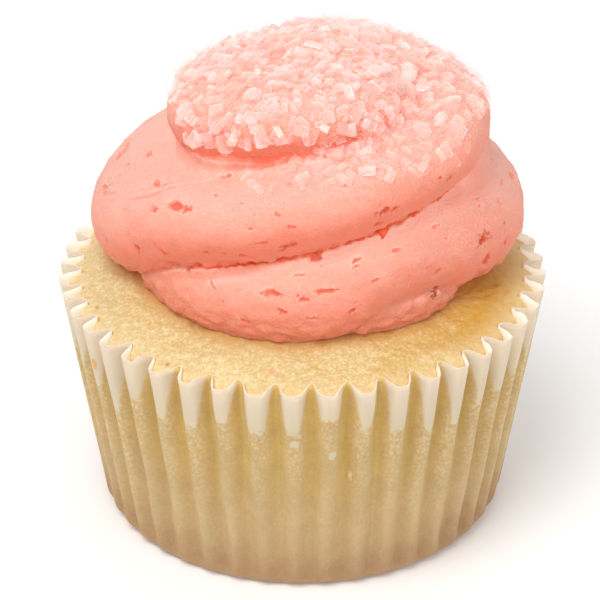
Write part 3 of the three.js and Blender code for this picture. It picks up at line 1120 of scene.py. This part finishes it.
def makePaperMaterial():
    material, shader = newMaterial("bakedPaper")
    place = objectPlace()
    height = mathNode("DIVIDE", axisNode(place, "Z"), case["height"] * mm)
    fromRidge = attributeNode("fromRidge")
    fine = noiseNode(place, 2600.0, 2.0)
    blotch = noiseNode(place, 260.0, 4.0, 0.6)
    speck = noiseNode(place, 1500.0, 3.0, 0.6)
    mottle = noiseNode(place, 2100.0, 3.0, 0.65)

    # how far under the rim, in flag lengths
    far = mathNode("DIVIDE", mathNode("SUBTRACT", 1.0, height), attributeNode("flagLength"))
    ragged = mathNode("MULTIPLY_ADD", speck, 0.5, -0.25)
    # the bare flag narrows from its full width to its tip
    wide = attributeNode("flagWidth")
    narrowing = times(far, mathNode("SUBTRACT", wide, attributeNode("flagTip")))
    spare = mathNode("SUBTRACT", mathNode("SUBTRACT", wide, narrowing), fromRidge)
    across = rangeNode(plus(spare, times(ragged, 0.25)), -0.06, 0.12)
    bare = times(across, rangeNode(plus(far, ragged), 1.06, 0.94))
    for middle in case["patchPlaces"]:
        patch = spotNode(place, middle, (1.0, 1.0, 0.8), 0.1, 1.1)
        patch = rangeNode(times(patch, mottle), 0.2, 0.36)
        bare = mathNode("MAXIMUM", bare, patch)

    # pale flecks where the paper only just lifts off, thick under the flags
    fleckZone = times(rangeNode(far, 3.2, 0.9), rangeNode(fromRidge, 0.85, 0.3))
    flecks = times(times(fleckZone, rangeNode(mottle, 0.46, 0.66)), 0.6)
    soaked = times(times(fleckZone, rangeNode(mottle, 0.5, 0.34)), 0.55)
    # painted light: the inner face near the rim is marked to be made pale, as if lit through the paper
    insideGlow = times(attributeNode("innerFace"), rangeNode(height, 0.8, 0.88))

    # from the rim down to the foot, and from the ridges into the valleys, whose golden greased colour is
    # also painted lighter against the shade in them
    inValley = rangeNode(fromRidge, 0.25, 0.95)
    upper = mixColour(inValley, paperLook["greasy"], paperLook["valley"])
    lower = mixColour(inValley, paperLook["lower"], paperLook["lowerValley"])
    wall = mixColour(rangeNode(height, 0.7, 0.25), upper, lower)
    footed = plus(height, mathNode("MULTIPLY_ADD", blotch, -0.4, 0.2))
    wall = mixColour(rangeNode(footed, 0.3, 0.0, 0.0, 0.85), wall, paperLook["foot"])
    wall = mixColour(soaked, wall, paperLook["soaked"])
    wall = mixColour(flecks, wall, paperLook["fleck"])
    patchy = rangeNode(blotch, 0.3, 0.7, -0.06, 0.06)
    grainy = rangeNode(fine, 0.3, 0.7, -0.05, 0.05)
    tinted = addNode("HueSaturation")
    feed(tinted.inputs["Value"], plus(plus(patchy, grainy), 1.0))
    feed(tinted.inputs["Color"], wall)
    bareColour = mixColour(rangeNode(far, 0.0, 1.2), paperLook["bare"], paperLook["bareLow"])
    colour = mixColour(bare, tinted.outputs["Color"], bareColour)
    colour = mixColour(insideGlow, colour, paperLook["inside"])
    drop = spotNode(place, case["stainPlace"], (1.0, 1.0, 0.45), 0.3, 0.55)
    colour = mixColour(times(drop, 0.8), colour, paperLook["stain"])
    feed(shader.inputs["Base Color"], colour)
    shader.inputs["Roughness"].default_value = 0.6
    shader.inputs["Specular IOR Level"].default_value = 0.25
    shader.inputs["Subsurface Weight"].default_value = 0.7
    shader.inputs["Subsurface Radius"].default_value = (1.0, 0.95, 0.9)
    shader.inputs["Subsurface Scale"].default_value = 0.8 * mm
    # painted glow: the rim's inner face and the bare flags glow a little, standing in for light that comes
    # through the paper
    feed(shader.inputs["Emission Color"], colour)
    thin = mathNode("MAXIMUM", times(insideGlow, 0.18), times(bare, 0.06))
    feed(shader.inputs["Emission Strength"], thin)
    feed(shader.inputs["Normal"], bumpNode(fine, 0.12, 0.1 * mm))
    return material


cakeLook = screenColours(
    crumb=(220, 195, 132),
    golden=(210, 157, 44),
    pale=(252, 238, 196),
    shade=(196, 142, 72),
    # rim is painted light: the crumb near the paper is made paler
    rim=(230, 204, 144),
    pore=(200, 150, 84),
    fallen=(246, 176, 150),
)


def makeCakeMaterial():
    material, shader = newMaterial("vanillaCrumb")
    place = objectPlace()
    broad = noiseNode(place, 160.0, 3.0)
    crumb = noiseNode(place, 1500.0, 3.0, 0.6)
    fine = noiseNode(place, 2600.0, 2.0, 0.6)
    lumpy = noiseNode(place, 1100.0, 5.0, 0.7)
    # more golden towards one side, +x, and in broad patches
    sideways = rangeNode(axisNode(place, "X"), -8 * mm, 30 * mm, -0.25, 0.75)
    goldenShare = plus(sideways, rangeNode(broad, 0.3, 0.75, 0.0, 0.4), True)
    colour = mixColour(goldenShare, cakeLook["crumb"], cakeLook["golden"])
    # painted light: paler near the paper, as if lit through it
    colour = mixColour(attributeNode("litThroughPaper"), colour, cakeLook["rim"])
    flecked = plus(rangeNode(lumpy, 0.42, 0.68, 0.0, 0.42), rangeNode(fine, 0.48, 0.66, 0.0, 0.4))
    flecked = times(flecked, rangeNode(goldenShare, 0.2, 1.0, 1.0, 0.25))
    colour = mixColour(flecked, colour, cakeLook["pale"])
    shaded = times(attributeNode("underIcing"), 0.75)
    colour = mixColour(shaded, colour, cakeLook["shade"])
    # painted shade: the pores are darker
    colour = mixColour(attributeNode("hollow"), colour, cakeLook["pore"])
    fallen = spotNode(place, cake["crumbPlace"], (0.6, 0.8, 1.0), 0.2, 0.42)
    colour = mixColour(fallen, colour, cakeLook["fallen"])
    feed(shader.inputs["Base Color"], colour)
    feed(shader.inputs["Roughness"], rangeNode(fine, 0.35, 0.65, 0.28, 0.6))
    shader.inputs["Specular IOR Level"].default_value = 0.5
    shader.inputs["Subsurface Weight"].default_value = 0.35
    shader.inputs["Subsurface Radius"].default_value = (1.0, 0.6, 0.25)
    shader.inputs["Subsurface Scale"].default_value = 1.2 * mm
    # warm light from the icing
    shader.inputs["Emission Color"].default_value = (1.0, 0.48, 0.13, 1.0)
    feed(shader.inputs["Emission Strength"], times(shaded, 0.06))
    relief = bumpNode(crumb, 0.6, 0.35 * mm)
    feed(shader.inputs["Normal"], bumpNode(fine, 0.3, 0.15 * mm, relief))
    return material


icingLook = screenColours(
    light=(251, 177, 157),
    warm=(247, 165, 142),
    peak=(255, 204, 190),
    # foot is painted shade, for the icing next to the cake
    foot=(226, 144, 116),
    # this colour is painted shade, for the undersides
    blush=(233, 132, 106),
    # this colour is painted light, for up-facing and lit tops
    sheen=(254, 209, 197),
    # deep is painted shade, for creases, tears and pocks
    deep=(244, 94, 54),
)


def makeIcingMaterial():
    material, shader = newMaterial("coralButtercream")
    place = objectPlace()
    broad = noiseNode(place, 90.0, 2.0)
    grain = noiseNode(place, 2700.0, 2.0, 0.6)
    pocks = rangeNode(noiseNode(place, 900.0, 2.0, 0.5), 0.68, 0.76)
    colour = mixColour(rangeNode(broad, 0.3, 0.7), icingLook["light"], icingLook["warm"])
    colour = mixColour(rangeNode(grain, 0.5, 0.68, 0.0, 0.4), colour, icingLook["peak"])
    # painted shade: small pocks take some of the deep red-orange
    colour = mixColour(times(pocks, 0.3), colour, icingLook["deep"])
    # painted shade: darker and redder near the cake, where less light reaches the icing
    colour = mixColour(attributeNode("nearCake"), colour, icingLook["foot"])
    # painted light: up-facing tops, and tops lit right up to the roll above, are made paler
    paintedGlow = attributeNode("glow")
    sheen = mathNode("MAXIMUM", times(attributeNode("upward"), 0.4), times(paintedGlow, 0.7))
    colour = mixColour(sheen, colour, icingLook["sheen"])
    # painted shade: undersides take a deeper red, less so near the cake
    aboveFoot = mathNode("MULTIPLY_ADD", attributeNode("nearCake"), -0.45, 1.0)
    blush = times(attributeNode("turned"), aboveFoot)
    colour = mixColour(blush, colour, icingLook["blush"])
    # painted shade: creases and tears take the deep red-orange of light bounced between the rolls
    colour = mixColour(attributeNode("hollow"), colour, icingLook["deep"])
    feed(shader.inputs["Base Color"], colour)
    shader.inputs["Roughness"].default_value = 0.5
    shader.inputs["Specular IOR Level"].default_value = 0.35
    shader.inputs["Subsurface Weight"].default_value = 0.8
    shader.inputs["Subsurface Radius"].default_value = (1.0, 0.36, 0.24)
    shader.inputs["Subsurface Scale"].default_value = 2.4 * mm
    # painted glow standing in for light scattered through the icing: a little all over, more in the
    # creases and tears, and most where a roll is lit right up to the one above it
    feed(shader.inputs["Emission Color"], mixColour(paintedGlow, (1.0, 0.16, 0.07), (1.0, 0.36, 0.25)))
    glow = plus(mathNode("MULTIPLY_ADD", attributeNode("hollow"), 0.09, 0.04), times(paintedGlow, 0.25))
    feed(shader.inputs["Emission Strength"], glow)
    relief = bumpNode(mathNode("SUBTRACT", 1.0, pocks), 0.5, 0.2 * mm)
    feed(shader.inputs["Normal"], bumpNode(grain, 1.0, 0.35 * mm, relief))
    return material


sugarLook = screenColours(
    clear=(252, 208, 196),
    milky=(255, 243, 240),
    buried=(248, 188, 171),
)


def makeSugarMaterial():
    material, shader = newMaterial("pinkSugar")
    milk = attributeNode("milk")
    colour = mixColour(milk, sugarLook["clear"], sugarLook["milky"])
    buried = times(attributeNode("buried"), 0.9)
    feed(shader.inputs["Base Color"], mixColour(buried, colour, sugarLook["buried"]))
    rim = addNode("LayerWeight")
    rim.inputs["Blend"].default_value = 0.27
    glassy = times(rim.outputs["Facing"], 0.5)
    cloudy = plus(rangeNode(milk, 0.1, 1.0, 0.05, 0.24), glassy)
    # what lies under other crystals is cloudier
    feed(shader.inputs["Alpha"], plus(cloudy, times(buried, 0.44), True))
    shader.inputs["Roughness"].default_value = 0.1
    shader.inputs["IOR"].default_value = 1.54
    shader.inputs["Specular IOR Level"].default_value = 1.0
    # painted glow: the crystals glow faintly pink, standing in for light scattered inside them
    shader.inputs["Emission Color"].default_value = (1.0, 0.69, 0.64, 1.0)
    shader.inputs["Emission Strength"].default_value = 0.2
    return material


def dress(piece, material, node):
    piece.data.materials.clear()
    piece.data.materials.append(material)
    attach(piece, "root")
    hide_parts(node)


dress(paperCase, makePaperMaterial(), "paper_case")
dress(cakeBody, makeCakeMaterial(), "cake")
dress(icingSwirl, makeIcingMaterial(), "frosting")
dress(sugarCrystals, makeSugarMaterial(), "frosting")
print("materials given")


# floor and light, in metres and watts
studio = {
    "floorColour": (0.96, 0.96, 0.96),
    "floorGlow": 0.09,
    "world": 0.57,
    # place, size and energy
    "keyLight": ((-0.21, -0.36, 0.71), 0.5, 3.8),
    "fillLight": ((0.5, -0.6, 0.25), 0.6, 0.9),
    "backLight": ((0.15, 0.7, 0.45), 0.6, 0.8),
}


def addLight(name):
    place, size, energy = studio[name]
    pickOnly(None)
    aim = Vector((0, 0, 30 * mm)) - Vector(place)
    bpy.ops.object.light_add(type="AREA", location=place, rotation=aim.to_track_quat("-Z", "Y").to_euler())
    light = bpy.context.object
    light.name = name
    light.data.shape = "DISK"
    light.data.size = size
    light.data.energy = energy


def makeStudio():
    pickOnly(None)
    bpy.ops.mesh.primitive_plane_add(size=6.0, location=(0, 0, 0))
    floor = keepAs("floor")
    material, shader = newMaterial("paleFloor")
    shader.inputs["Base Color"].default_value = (*studio["floorColour"], 1.0)
    shader.inputs["Roughness"].default_value = 0.7
    shader.inputs["Emission Color"].default_value = (1.0, 1.0, 1.0, 1.0)
    shader.inputs["Emission Strength"].default_value = studio["floorGlow"]
    floor.data.materials.append(material)
    for name in ("keyLight", "fillLight", "backLight"):
        addLight(name)
    world = bpy.data.worlds.new("studio")
    world.use_nodes = True
    background = world.node_tree.nodes["Background"]
    background.inputs["Color"].default_value = (1.0, 1.0, 1.0, 1.0)
    background.inputs["Strength"].default_value = studio["world"]
    scene.world = world
    scene.view_settings.view_transform = "Standard"


makeStudio()
print("studio lit")
